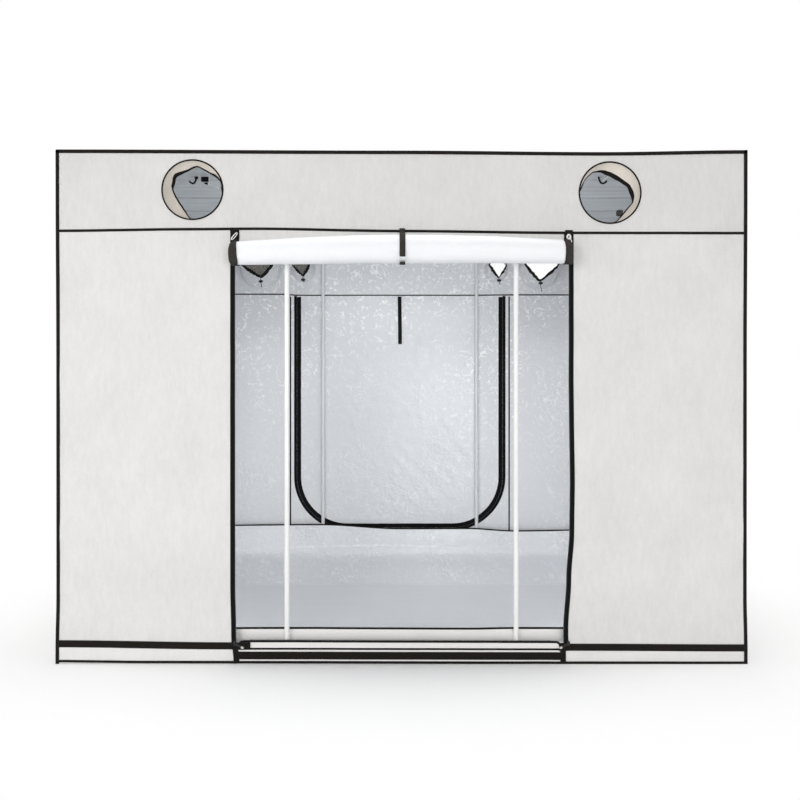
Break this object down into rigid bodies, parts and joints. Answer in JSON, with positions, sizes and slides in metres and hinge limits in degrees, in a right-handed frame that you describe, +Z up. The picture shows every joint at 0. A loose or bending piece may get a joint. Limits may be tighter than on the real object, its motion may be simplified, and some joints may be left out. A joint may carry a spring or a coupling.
{
  "type": "indoor grow tent",
  "caption": "Walk-in indoor grow tent: steel pole frame under sewn white cloth, roll-up front door, lifting rear door, sleeved duct vents and a floor tray.",
  "frame": {"origin": "on the ground under the middle of the tent's floor", "axes": "+Z up; the doorway faces -Y; +X is to the right as one looks in at the doorway"},
  "size_m": [3, 1.6255, 2.23],
  "materials": {
    "pole_paint": "white powder coat on steel tube",
    "connector_paint": "white coated connectors",
    "cover_cloth": "off-white coated woven cloth",
    "lining_cloth": "smooth reflective inner face",
    "tray_cloth": "coated waterproof cloth",
    "webbing": "black woven tape",
    "zip_metal": "black coated zip slider"
  },
  "bodies": {
    "root": {"centre_strap": "webbing", "door_drop": "cover_cloth", "floor_sheet": "cover_cloth", "floor_tray": "tray_cloth", "front_bottom_left_rail": "pole_paint", "front_bottom_middle_rail": "pole_paint", "front_bottom_right_rail": "pole_paint", "front_header": "cover_cloth", "front_left_bottom_corner": "connector_paint", "front_left_corner_post": "pole_paint", "front_left_inner_post": "pole_paint", "front_left_panel": "cover_cloth", "front_left_top_corner": "connector_paint", "front_left_vent_sleeve": "cover_cloth", "front_right_bottom_corner": "connector_paint", "front_right_corner_post": "pole_paint", "front_right_inner_post": "pole_paint", "front_right_panel": "cover_cloth", "front_right_top_corner": "connector_paint", "front_right_vent_sleeve": "cover_cloth", "front_sill": "cover_cloth", "front_top_left_rail": "pole_paint", "front_top_middle_rail": "pole_paint", "front_top_right_rail": "pole_paint", "left_bottom_rail": "pole_paint", "left_roof_bar": "pole_paint", "left_top_rail": "pole_paint", "left_wall": "cover_cloth", "rear_bottom_left_rail": "pole_paint", "rear_bottom_middle_rail": "pole_paint", "rear_bottom_right_rail": "pole_paint", "rear_door_surround": "lining_cloth", "rear_header": "lining_cloth", "rear_left_bottom_corner": "connector_paint", "rear_left_cable_sleeve": "cover_cloth", "rear_left_corner_post": "pole_paint", "rear_left_inner_post": "pole_paint", "rear_left_panel": "lining_cloth", "rear_left_top_corner": "connector_paint", "rear_left_vent_sleeve": "cover_cloth", "rear_right_bottom_corner": "connector_paint", "rear_right_cable_sleeve": "cover_cloth", "rear_right_corner_post": "pole_paint", "rear_right_inner_post": "pole_paint", "rear_right_panel": "lining_cloth", "rear_right_top_corner": "connector_paint", "rear_right_vent_sleeve": "cover_cloth", "rear_top_left_rail": "pole_paint", "rear_top_middle_rail": "pole_paint", "rear_top_right_rail": "pole_paint", "right_bottom_rail": "pole_paint", "right_roof_bar": "pole_paint", "right_top_rail": "pole_paint", "right_wall": "cover_cloth", "roof": "cover_cloth"},
    "front_door_roll": {"door_roll": "lining_cloth"},
    "rear_door": {"rear_door": "lining_cloth"},
    "left_slider": {"left_zip_slider": "zip_metal"},
    "right_slider": {"right_zip_slider": "zip_metal"},
    "rear_tie_strap": {"rear_tie_strap": "webbing"}
  },
  "joints": [
    {"name": "front_door_lowering", "type": "slide", "parent": "root", "child": "front_door_roll", "axis": [0, 0, -1], "range_m": [0, 1.61], "deforming": ["door_drop", "centre_strap"]},
    {"name": "left_zip_closing", "type": "slide", "parent": "root", "child": "left_slider", "axis": [0, 0, 1], "range_m": [0, 1.6]},
    {"name": "right_zip_closing", "type": "slide", "parent": "root", "child": "right_slider", "axis": [0, 0, 1], "range_m": [0, 1.6]},
    {"name": "rear_door_lifting", "type": "hinge", "parent": "root", "child": "rear_door", "pos_m": [0, 0.75, 1.8787], "axis": [1, 0, 0], "range_deg": [0, 90]},
    {"name": "rear_tie_strap_swing", "type": "hinge", "parent": "root", "child": "rear_tie_strap", "pos_m": [0, 0.74745, 1.8787], "axis": [-1, 0, 0], "range_deg": [0, 90]}
  ]
}
